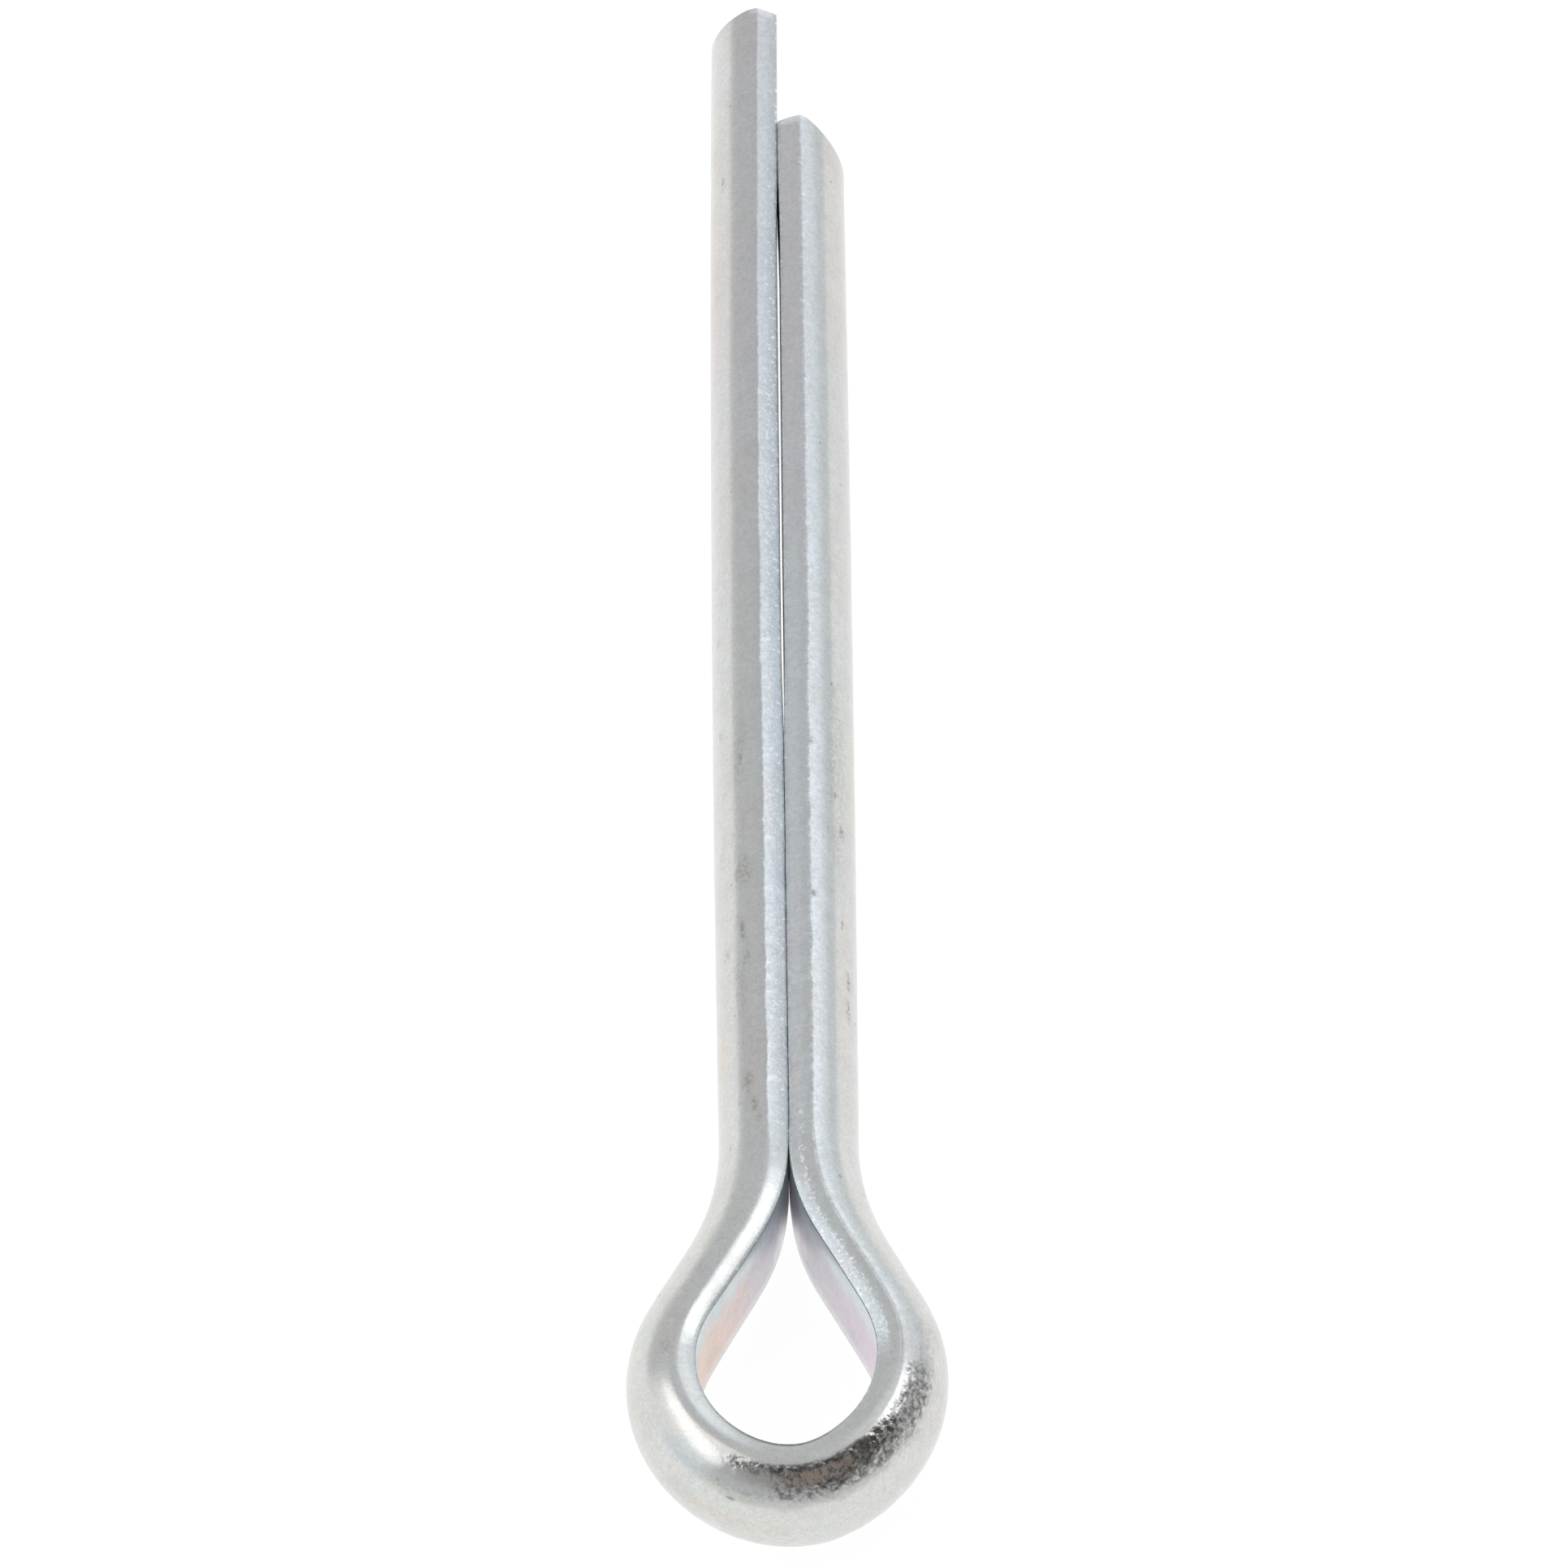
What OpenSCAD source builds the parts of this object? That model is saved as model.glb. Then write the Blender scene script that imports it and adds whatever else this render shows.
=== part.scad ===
// Cotter pin: one length of half-round wire, folded flat side to flat side.
// It lies flat on a surface, with its legs along +Y and its eye towards -Y.

/* [Wire] */
// Diameter of the round side, which is also the diameter of the closed shank
wire_d = 4.45; // [3.6:0.05:5.6]
// Distance from the flat face out to the ridge where the rolled-off corner ends
corner_in = 0.7; // [0.4:0.05:1]
// How far that corner falls from the ridge to the edge of the flat face
corner_drop = 0.36; // [0.2:0.02:0.6]

/* [Legs] */
// Straight length of the short leg, from the end of the neck bend to its tip
short_leg = 41; // [15:0.5:90]
// How much further the long leg reaches, so that the legs can be parted
leg_step = 4.7; // [0:0.1:10]
// Slit between the flat faces of the two legs
leg_gap = 0.08; // [0.04:0.01:0.4]
// Radius rolled onto the round side of each sheared tip
tip_round = 0.3; // [0.1:0.05:0.6]

/* [Eye] */
// Clear width of the eye at its widest
eye_w = 5.75; // [4.8:0.05:7]
// Angle that each flank of the eye makes with the legs
flank_angle = 27.3; // [23:0.1:33]
// Straight length of each flank
flank_len = 2.7; // [1:0.1:4]
// Inside radius of the eye's two shoulders
shoulder_r = 3.75; // [3:0.05:5]
// Inside radius of the bottom of the eye, tighter than the shoulders
bottom_r = 1.9; // [1:0.05:2.8]

/* [Hidden] */
$fn = 96;

wire_r = wire_d / 2;
long_leg = short_leg + leg_step;

// The ridge is the highest line of the section, and the flat face ends below it.
ridge_z = sqrt(wire_r * wire_r - corner_in * corner_in);
flat_edge_z = ridge_z - corner_drop;

// The corner's line is carried on past the ridge until it is clear of the round side.
clear_x = wire_d;
clear_z = flat_edge_z + corner_drop / corner_in * clear_x;

// The neck bend takes up what the flank and the shoulder leave of the eye's half width.
bend_rise = 1 - cos(flank_angle);
flank_spread = flank_len * sin(flank_angle);
neck_r = ((eye_w - leg_gap) / 2 - flank_spread) / bend_rise - shoulder_r;

// The shoulder runs this far past the widest point, to where the bottom arc takes over.
shoulder_past = acos((shoulder_r - eye_w / 2) / (shoulder_r - bottom_r));
shoulder_turn = flank_angle + shoulder_past;

// Distance along Y from the centre of the bottom arc to the end of the neck bend
neck_y = (shoulder_r - bottom_r) * sin(shoulder_past)
    + (shoulder_r + neck_r) * sin(flank_angle) + flank_len * cos(flank_angle);

// The origin is on the surface, under the middle of the pin's whole length.
bottom_centre_y = (bottom_r + wire_r - neck_y - long_leg) / 2;

// Half-width of the blocks that trim a bend, wider than any bend
trim_reach = 2 * (neck_r + wire_d);

// The flat face and its two rolled-off corners, open on the round side
module flat_side() {
    polygon([
        [0, -flat_edge_z],
        [clear_x, -clear_z],
        [clear_x, clear_z],
        [0, flat_edge_z]
    ]);
}

// Half-round section, with its flat face on the Y axis and its round side towards +X
module wire_section() {
    intersection() {
        circle(r = wire_r);
        flat_side();
    }
}

// Half profile of a round bar that ends in a rolled-over edge
module rolled_bar_profile(length) {
    square([wire_r, length - tip_round]);
    square([wire_r - tip_round, length]);
    intersection() {
        translate([wire_r - tip_round, length - tip_round]) circle(r = tip_round);
        square([wire_r, length]);
    }
}

// Carries an outline straight along +Y
module straight(length) {
    rotate([90, 0, 0])
        translate([0, 0, -length])
            linear_extrude(height = length) children();
}

// Everything before the plane y = 0
module before() {
    translate([-trim_reach, -trim_reach, -trim_reach])
        cube([2 * trim_reach, trim_reach, 2 * trim_reach]);
}

// Everything beyond the plane y = 0
module beyond() {
    translate([-trim_reach, 0, -trim_reach])
        cube([2 * trim_reach, trim_reach, 2 * trim_reach]);
}

// Half turn of an outline round the Z axis, centred on the given angle from +X
module half_ring(middle) {
    rotate_extrude(angle = 180, start = middle - 90) children();
}

// Bend that leaves y = 0 at angle 0 along +Y and turns left
module bend_left(turn) {
    difference() {
        half_ring(turn / 2) children();
        before();
        rotate([0, 0, turn]) beyond();
    }
}

// Bend that leaves y = 0 at angle 180 along +Y and turns right
module bend_right(turn) {
    difference() {
        half_ring(180 - turn / 2) children();
        before();
        rotate([0, 0, -turn]) beyond();
    }
}

// Leg along +Y, with its flat face towards -X and its tip rolled over on the round side
module leg(length) {
    intersection() {
        rotate([-90, 0, 0])
            rotate_extrude() rolled_bar_profile(length);
        straight(length) flat_side();
    }
}

// Neck bend and leg, from the end of a flank that runs along +Y
module neck_and_leg(leg_length) {
    translate([neck_r, 0, 0]) {
        bend_right(flank_angle)
            translate([neck_r, 0]) mirror([1, 0]) wire_section();
        rotate([0, 0, -flank_angle])
            translate([-neck_r, 0, 0]) leg(leg_length);
    }
}

// One side of the pin, from where the bottom arc ends, about that arc's centre
module side_of_pin(leg_length) {
    rotate([0, 0, -shoulder_past])
        translate([bottom_r - shoulder_r, 0, 0]) {
            bend_left(shoulder_turn)
                translate([shoulder_r, 0]) wire_section();
            rotate([0, 0, shoulder_turn])
                translate([shoulder_r, 0, 0]) {
                    straight(flank_len) wire_section();
                    translate([0, flank_len, 0]) neck_and_leg(leg_length);
                }
        }
}

// What a side of the pin takes over from the bottom arc
module beyond_bottom() {
    rotate([0, 0, -shoulder_past]) beyond();
}

// Bottom of the eye, between the two shoulders
module eye_bottom() {
    difference() {
        half_ring(-90)
            translate([bottom_r, 0]) wire_section();
        beyond_bottom();
        mirror([1, 0, 0]) beyond_bottom();
    }
}

module cotter_pin() {
    color("lightsteelblue")
        translate([0, bottom_centre_y, ridge_z]) {
            eye_bottom();
            side_of_pin(short_leg);
            mirror([1, 0, 0]) side_of_pin(long_leg);
        }
}

cotter_pin();
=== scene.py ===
"""A zinc-plated cotter pin: half-round wire folded flat side to flat side, lying on a white table."""

import logging
import math
from dataclasses import dataclass, field
from enum import Enum
from typing import Sequence, Union

import bmesh
import bpy
import numpy as np
from mathutils import Matrix, Vector, noise


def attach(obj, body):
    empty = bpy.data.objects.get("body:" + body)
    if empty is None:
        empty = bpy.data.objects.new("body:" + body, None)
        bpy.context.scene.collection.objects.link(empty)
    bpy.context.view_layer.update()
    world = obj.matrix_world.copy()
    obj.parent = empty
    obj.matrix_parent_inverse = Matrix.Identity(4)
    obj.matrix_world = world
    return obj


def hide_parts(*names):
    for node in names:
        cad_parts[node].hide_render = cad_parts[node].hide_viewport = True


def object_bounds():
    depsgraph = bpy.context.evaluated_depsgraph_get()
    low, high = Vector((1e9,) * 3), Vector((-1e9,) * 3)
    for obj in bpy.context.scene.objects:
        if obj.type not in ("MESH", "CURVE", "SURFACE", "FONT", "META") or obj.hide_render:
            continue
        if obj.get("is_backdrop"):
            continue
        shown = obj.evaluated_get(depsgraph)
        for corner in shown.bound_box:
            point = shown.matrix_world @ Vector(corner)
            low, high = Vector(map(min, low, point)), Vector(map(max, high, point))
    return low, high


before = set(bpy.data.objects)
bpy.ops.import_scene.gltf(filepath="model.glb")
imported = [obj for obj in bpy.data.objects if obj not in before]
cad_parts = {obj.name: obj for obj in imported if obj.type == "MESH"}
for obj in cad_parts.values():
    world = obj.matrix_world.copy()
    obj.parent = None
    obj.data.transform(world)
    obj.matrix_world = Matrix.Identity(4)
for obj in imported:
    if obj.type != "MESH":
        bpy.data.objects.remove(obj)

logging.basicConfig(level=logging.INFO, format="%(message)s")
log = logging.getLogger("cotter_pin")

CAD_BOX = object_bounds()
MM = 0.001
BAR_ATTRIBUTE = "bar_mm"
ACROSS_ATTRIBUTE = "across_mm"
# film tints with painted light and shade in them, and the soil
STAIN_AND_LIGHT_ATTRIBUTE = "film_light_and_soil"
COPPER_ATTRIBUTE = "copper"

Colour = tuple[float, float, float]
Value = Union["Signal", float, tuple[float, ...]]

# Noise is read turned, so that its grid does not line up with the bar.
NOISE_TURN = np.array(Matrix.Rotation(0.62, 3, "X") @ Matrix.Rotation(0.47, 3, "Z"))


# ---- small helpers


def smooth_step(low: float, high: float, value: np.ndarray) -> np.ndarray:
    """Eases from 0 at low to 1 at high.

    Args:
        low: Value at which the result leaves 0.
        high: Value at which the result reaches 1.
        value: Numbers to ease.

    Returns:
        The eased numbers, from 0 to 1.
    """
    t = np.clip((value - low) / (high - low), 0.0, 1.0)
    return t * t * (3.0 - 2.0 * t)


def mixed(tint: np.ndarray, other: np.ndarray | Colour, share: np.ndarray) -> np.ndarray:
    """Mixes each row's colour with another one, by the row's own share."""
    return tint * (1.0 - share[:, None]) + np.asarray(other) * share[:, None]


def direction(azimuth: float, elevation: float) -> Vector:
    """Turns a compass-like direction into a unit vector.

    Args:
        azimuth: Degrees from +Y, towards +X.
        elevation: Degrees above the table.

    Returns:
        The unit vector that points that way.
    """
    a, e = math.radians(azimuth), math.radians(elevation)
    return Vector((math.sin(a) * math.cos(e), math.cos(a) * math.cos(e), math.sin(e)))


def ripple(points: np.ndarray, scale: float, octaves: int, seed: float) -> np.ndarray:
    """Gives smooth noise at many points.

    Args:
        points: Points, one per row.
        scale: Features per unit of length.
        octaves: How many finer layers the noise has.
        seed: Shifts the noise to another part of its field.

    Returns:
        One value per point, about -1 to 1.
    """
    field_points = points @ NOISE_TURN * scale + seed
    return np.array([noise.fractal(Vector(p), 0.9, 2.0, octaves, noise_basis="PERLIN_NEW") for p in field_points])


def set_out(name: str, data: bpy.types.ID) -> bpy.types.Object:
    """Makes an object and puts it in the scene.

    Args:
        name: The object's name.
        data: Its mesh, lamp or camera.

    Returns:
        The object.
    """
    thing = bpy.data.objects.new(name, data)
    bpy.context.scene.collection.objects.link(thing)
    return thing


class Leg(Enum):
    """The two legs, by the side of the pin that each one is on."""

    LONG = -1.0
    SHORT = 1.0


# ---- the wire's path


@dataclass
class SideOfPin:
    """One leg with its half of the eye, measured along the flat face, in millimetres."""

    leg: Leg
    leg_length: float
    neck_radius: float
    neck_turn: float
    flank_length: float
    shoulder_radius: float
    shoulder_turn: float
    bottom_radius: float
    tip_offset: float
    neck_offset: float
    bow: float

    def headings(self, step: float) -> np.ndarray:
        """Gives the wire's heading at even steps, from the bottom of the eye to the tip.

        Args:
            step: Distance between two headings.

        Returns:
            Angles in radians from the leg's own direction, positive where the wire leans outwards.
        """
        turn_in = math.radians(self.neck_turn)
        past = math.radians(self.shoulder_turn - self.neck_turn)
        bottom_turn = math.pi / 2.0 - past
        parts = [
            (self.bottom_radius * bottom_turn, math.pi / 2.0, past),
            (self.shoulder_radius * math.radians(self.shoulder_turn), past, -turn_in),
            (self.flank_length, -turn_in, -turn_in),
            (self.neck_radius * turn_in, -turn_in, 0.0),
            (self.leg_length, 0.0, 0.0),
        ]
        lengths = np.cumsum([0.0] + [part[0] for part in parts])
        angles = [parts[0][1]] + [part[2] for part in parts]
        along = np.arange(0.0, lengths[-1], step)
        return np.interp(along, lengths, angles)


@dataclass
class FoldedPath:
    """The line that the middle of the flat face follows, from the long tip round the eye to the short tip."""

    long_side: SideOfPin
    short_side: SideOfPin
    neck_y: float
    bottom_y: float
    centre_x: float = 0.05
    step: float = 0.01
    bend_ease: float = 0.9
    touch: float = 0.005
    slit: float = 0.095
    slit_lean: float = 0.024
    slit_low: tuple[float, float] = (-0.5, 3.5)
    slit_high: tuple[float, float] = (24.0, 20.5)
    neck_press: float = 0.045
    press_fade: tuple[float, float] = (1.8, 5.4)
    points: np.ndarray = field(init=False)
    normals: np.ndarray = field(init=False)
    length: float = field(init=False)
    bottom_at: float = field(init=False)

    def __post_init__(self) -> None:
        """Walks both sides up from the bottom of the eye and joins them."""
        long_points, long_normals = self.walk(self.long_side)
        short_points, short_normals = self.walk(self.short_side)
        self.points = np.concatenate([long_points[::-1], short_points[1:]])
        self.normals = np.concatenate([long_normals[::-1], short_normals[1:]])
        self.length = (len(self.points) - 1) * self.step
        self.bottom_at = (len(long_points) - 1) * self.step

    def walk(self, side: SideOfPin) -> tuple[np.ndarray, np.ndarray]:
        """Follows one side from the bottom of the eye to its tip.

        Args:
            side: The side to follow.

        Returns:
            Points on the flat face, and the outward normals there, both seen from above.
        """
        heading = side.headings(self.step)
        reach = int(self.bend_ease / self.step)
        kernel = np.hanning(2 * reach + 1)
        kernel /= kernel.sum()
        mirrored = np.concatenate([math.pi - heading[reach:0:-1], heading, np.full(reach, heading[-1])])
        heading = np.convolve(mirrored, kernel, mode="valid")
        run = np.concatenate([[0.0], np.cumsum(np.full(len(heading) - 1, self.step))])
        middle = (heading[1:] + heading[:-1]) / 2.0
        x = np.concatenate([[0.0], np.cumsum(np.sin(middle) * self.step)])
        y = np.concatenate([[0.0], np.cumsum(np.cos(middle) * self.step)])
        eye_run = run[-1] - side.leg_length
        eye = run <= eye_run
        neck = int(eye.sum()) - 1
        share = np.clip(run / eye_run, 0.0, 1.0)
        x -= x[neck] * share
        y += self.bottom_y + (self.neck_y - self.bottom_y - y[neck]) * share
        t = np.clip((run[-1] - run) / side.leg_length, 0.0, 1.0)
        offset = side.tip_offset * (1.0 - t) + side.neck_offset * t + side.bow * 4.0 * t * (1.0 - t)
        offset = np.where(eye, side.neck_offset * share, offset)
        x += offset
        sign = side.leg.value
        points = np.stack([x * sign, y], axis=1)
        normals = np.stack([np.cos(heading) * sign, -np.sin(heading)], axis=1)
        return points, normals

    def press(self, along: np.ndarray) -> np.ndarray:
        """Says how far the flats are pressed towards each other.

        They touch at the neck and stand a thin slit apart higher up; below the neck the press grows with the
        distance, in neck_press millimetres for each one, and then fades.

        Args:
            along: Distances along the bar, in millimetres.

        Returns:
            How far the flat stands out towards the other leg at each one, in millimetres.
        """
        bottom = round(self.bottom_at / self.step)
        y = np.interp(along, np.arange(len(self.points)) * self.step, self.points[:, 1])
        to_long = -np.interp(y, self.points[bottom::-1, 1], self.points[bottom::-1, 0])
        to_short = np.interp(y, self.points[bottom:, 1], self.points[bottom:, 0])
        lit = smooth_step(*self.slit_low, y) * smooth_step(*self.slit_high, y)
        wanted = self.touch + (self.slit - self.touch) * lit
        below = np.maximum(self.neck_y - y, 0.0)
        spare = (to_long + to_short - wanted) / 2.0
        spare = np.where(below > 0.0, np.minimum(spare, self.neck_press * below), spare)
        return spare * (1.0 - smooth_step(*self.press_fade, below))

    def place(self, bar: np.ndarray, axis_height: float) -> np.ndarray:
        """Folds points of the straight bar into the pin.

        Args:
            bar: Points as (outwards from the flat, along, up), in millimetres.
            axis_height: Height of the wire's axis above the table.

        Returns:
            The same points in the pin, in millimetres.
        """
        at = bar[:, 1]
        inside = np.clip(at, 0.0, self.length)
        grid = np.arange(len(self.points)) * self.step
        base = np.stack([np.interp(inside, grid, self.points[:, k]) for k in range(2)], axis=1)
        out = np.stack([np.interp(inside, grid, self.normals[:, k]) for k in range(2)], axis=1)
        out /= np.linalg.norm(out, axis=1, keepdims=True)
        flat = base + out * bar[:, :1]
        beyond = at - inside
        flat[:, 1] -= beyond * np.where(at < self.length / 2.0, 1.0, -1.0)
        flat[:, 0] += self.centre_x
        return np.column_stack([flat, bar[:, 2] + axis_height])


# ---- the straight bar


@dataclass
class HalfRoundBar:
    """Straight half-round wire before it is folded, in millimetres: x outwards from the flat, y along, z up."""

    radius: float = 2.225
    ridge_in: float = 0.70
    crease_height: float = 1.735
    crease_round: float = 0.036
    ridge_round: float = 0.06
    round_segments: int = 88
    flat_cuts: int = 5
    corner_cuts: int = 4
    cap_rings: int = 7
    cap_scale: float = 0.85
    cap_middle: float = 0.95
    near: float = 0.02

    @property
    def ridge_height(self) -> float:
        """Height of the ridge above the wire's axis."""
        return math.sqrt(self.radius**2 - self.ridge_in**2)

    @property
    def ridge_angle(self) -> float:
        """Angle of the ridge round the wire, from its outermost line."""
        return math.atan2(self.ridge_height, self.ridge_in)

    @property
    def corner_rise(self) -> float:
        """Height from the crease to the ridge."""
        return self.ridge_height - self.crease_height

    @property
    def corner_width(self) -> float:
        """Width of the corner strip, straight across from crease to ridge."""
        return math.hypot(self.ridge_in, self.corner_rise)

    def section(self, bm: bmesh.types.BMesh) -> None:
        """Makes the section as one face in the plane y = 0.

        Args:
            bm: The empty mesh to make it in.
        """
        turned = Matrix.Rotation(math.radians(90.0), 4, "X")
        bmesh.ops.create_circle(bm, cap_ends=True, radius=self.radius, segments=self.round_segments, matrix=turned)
        self.cut(bm, Vector((0.0, 0.0, 0.0)), Vector((-1.0, 0.0, 0.0)))
        for up in (1.0, -1.0):
            edge = Vector((0.0, 0.0, self.crease_height * up))
            self.cut(bm, edge, Vector((-self.corner_rise, 0.0, self.ridge_in * up)))
        for vert in [v for v in bm.verts if self.is_corner(v.co)]:
            width = self.crease_round if vert.co.x < self.ridge_in / 2.0 else self.ridge_round
            bmesh.ops.bevel(bm, geom=[vert], offset=width, offset_type="OFFSET", segments=3, profile=0.5,
                            affect="VERTICES", material=-1)
        bm.edges.ensure_lookup_table()
        flats = [e for e in bm.edges if e.calc_length() > self.crease_height]
        strips = [e for e in bm.edges if self.corner_width * 0.4 < e.calc_length() < self.crease_height]
        bmesh.ops.subdivide_edges(bm, edges=flats, cuts=self.flat_cuts)
        bmesh.ops.subdivide_edges(bm, edges=strips, cuts=self.corner_cuts)
        bmesh.ops.dissolve_faces(bm, faces=bm.faces[:], use_verts=False)

    def is_corner(self, point: Vector) -> bool:
        """Says whether a point of the section is an end of one of its two corner strips."""
        ends = ((0.0, self.crease_height), (self.ridge_in, self.ridge_height))
        return any(math.hypot(point.x - x, abs(point.z) - z) < self.near for x, z in ends)

    @staticmethod
    def cut(bm: bmesh.types.BMesh, point: Vector, outwards: Vector) -> None:
        """Cuts the mesh on a plane and drops what lies outside it.

        Args:
            bm: The mesh to cut.
            point: A point on the plane.
            outwards: The plane's normal, towards the part that is dropped.
        """
        geom = bm.verts[:] + bm.edges[:] + bm.faces[:]
        bmesh.ops.bisect_plane(bm, geom=geom, dist=1e-6, plane_co=point, plane_no=outwards, clear_outer=True)

    def draw(self, bm: bmesh.types.BMesh, runs: Sequence[tuple[float, float]]) -> None:
        """Draws the section out into a bar, in runs of even steps.

        Args:
            bm: The mesh that holds the section.
            runs: Length of each run and the step that it is drawn in.
        """
        start = end = next(iter(bm.faces))
        for length, step in runs:
            made = bmesh.ops.extrude_face_region(bm, geom=[end])["geom"]
            if end is not start:
                bmesh.ops.delete(bm, geom=[end], context="FACES_ONLY")
            end = next(item for item in made if isinstance(item, bmesh.types.BMFace))
            bmesh.ops.translate(bm, vec=(0.0, length, 0.0), verts=end.verts[:])
            rim = set(end.edges)
            walls = [edge for vert in end.verts for edge in vert.link_edges if edge not in rim]
            bmesh.ops.subdivide_edges(bm, edges=walls, cuts=max(1, round(length / step)) - 1)

    def cap(self, bm: bmesh.types.BMesh) -> list[bmesh.types.BMVert]:
        """Divides both end faces into rings, so that they can be roughened.

        Args:
            bm: The drawn bar.

        Returns:
            The vertices inside the two end faces.
        """
        kept = set(bm.verts)
        for face in [f for f in bm.faces if len(f.verts) > 4]:
            middle = Vector((self.cap_middle, next(iter(face.verts)).co.y, 0.0))
            for _ in range(self.cap_rings):
                made = bmesh.ops.extrude_face_region(bm, geom=[face])["geom"]
                bmesh.ops.delete(bm, geom=[face], context="FACES_ONLY")
                face = next(item for item in made if isinstance(item, bmesh.types.BMFace))
                bmesh.ops.scale(bm, vec=(self.cap_scale, 1.0, self.cap_scale), space=Matrix.Translation(-middle),
                                verts=face.verts[:])
            bmesh.ops.poke(bm, faces=[face], offset=0.0)
        return [vert for vert in bm.verts if vert not in kept]

    def across(self, bar: np.ndarray) -> np.ndarray:
        """Measures round the section from the crease, outwards over the corner strip and the round back.

        Args:
            bar: Points on the bar.

        Returns:
            Distances in millimetres: negative on the flat face, the same above and below.
        """
        x, height = bar[:, 0], np.abs(bar[:, 2])
        share = (x * self.ridge_in + (height - self.crease_height) * self.corner_rise) / self.corner_width**2
        round_back = self.corner_width + self.radius * (self.ridge_angle - np.arctan2(height, x))
        flat = height - self.crease_height
        strip = np.maximum(share, 0.0) * self.corner_width
        return np.where((x < self.near) & (flat < 0.0), flat, np.where(share < 1.0, strip, round_back))


@dataclass(frozen=True)
class CornerStrip:
    """How one leg's corner strips differ from the drawn section, in millimetres."""

    ridge_shift: float
    crease_shift: float
    swell: float
    waviness: float


class MarkKind(Enum):
    """What a mark on the plating is: film tints, soil and copper, and painted light and shade."""

    STRAW = "film, straw"
    PEACH = "film, peach"
    PINK = "film, pink"
    LAVENDER = "film, lavender"
    # painted reflection of the bluish room, not film
    PAINTED_BLUE_REFLECTION = "film, blue"
    TEAL = "film, teal"
    # grey film, and painted shade along the long leg's crease near its tip
    GREY_FILM_AND_SHADE = "film, grey"
    # painted highlight, not film: a tint above 1 that lightens the zinc
    PAINTED_HIGHLIGHT = "no film, bright"
    SOIL = "soil"
    COPPER = "copper"


FILM_AND_LIGHT_TINTS: dict[MarkKind, Colour] = {
    MarkKind.STRAW: (0.97, 1.0, 0.89),
    MarkKind.PEACH: (1.0, 0.85, 0.76),
    MarkKind.PINK: (1.0, 0.87, 0.89),
    MarkKind.LAVENDER: (0.97, 0.875, 1.0),
    # painted bluish reflection
    MarkKind.PAINTED_BLUE_REFLECTION: (0.88, 0.93, 1.0),
    MarkKind.TEAL: (0.85, 0.955, 1.0),
    MarkKind.GREY_FILM_AND_SHADE: (0.88, 0.885, 0.90),
    # painted highlight: a tint above 1
    MarkKind.PAINTED_HIGHLIGHT: (1.28, 1.27, 1.27),
}


# The passivation film inside the eye, with painted light and shade on the flats: its tint at distances from each
# tip. The tints above 1 near the necks are painted light, and the dark stops further in are painted shade.
EYE_FILM_LIGHT_AND_SHADE: dict[Leg, tuple[tuple[float, Colour], ...]] = {
    Leg.LONG: ((46.6, (1.14, 1.12, 1.10)), (48.0, (1.10, 1.10, 1.15)), (49.3, (0.70, 0.68, 0.735)),
               (50.4, (0.75, 0.695, 0.78)), (52.2, (0.945, 0.76, 0.70)), (54.5, (1.0, 0.785, 0.67)),
               (57.0, (1.0, 0.80, 0.72))),
    Leg.SHORT: ((41.6, (1.14, 1.12, 1.10)), (43.2, (1.00, 0.99, 1.05)), (44.7, (0.63, 0.61, 0.675)),
                (45.8, (0.76, 0.715, 0.78)), (47.5, (0.79, 0.705, 0.81)), (49.2, (0.87, 0.74, 0.865)),
                (52.0, (0.90, 0.75, 0.90))),
}


@dataclass(frozen=True)
class Mark:
    """One mark on the upper side, in millimetres: where it lies from its leg's tip and across, and its size."""

    mark_kind: MarkKind
    leg: Leg
    from_tip: float
    across: float
    length: float
    width: float
    strength: float
    lean: float = 0.0
    ragged: float = 0.5


def marks(mark_kind: MarkKind, leg: Leg, *rows: tuple[float, ...], ragged: float = 0.5) -> tuple[Mark, ...]:
    """Lists marks of one kind, each given as from_tip, across, length, width, strength and, if need be, lean."""
    return tuple(Mark(mark_kind, leg, *row, ragged=ragged) for row in rows)


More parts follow.
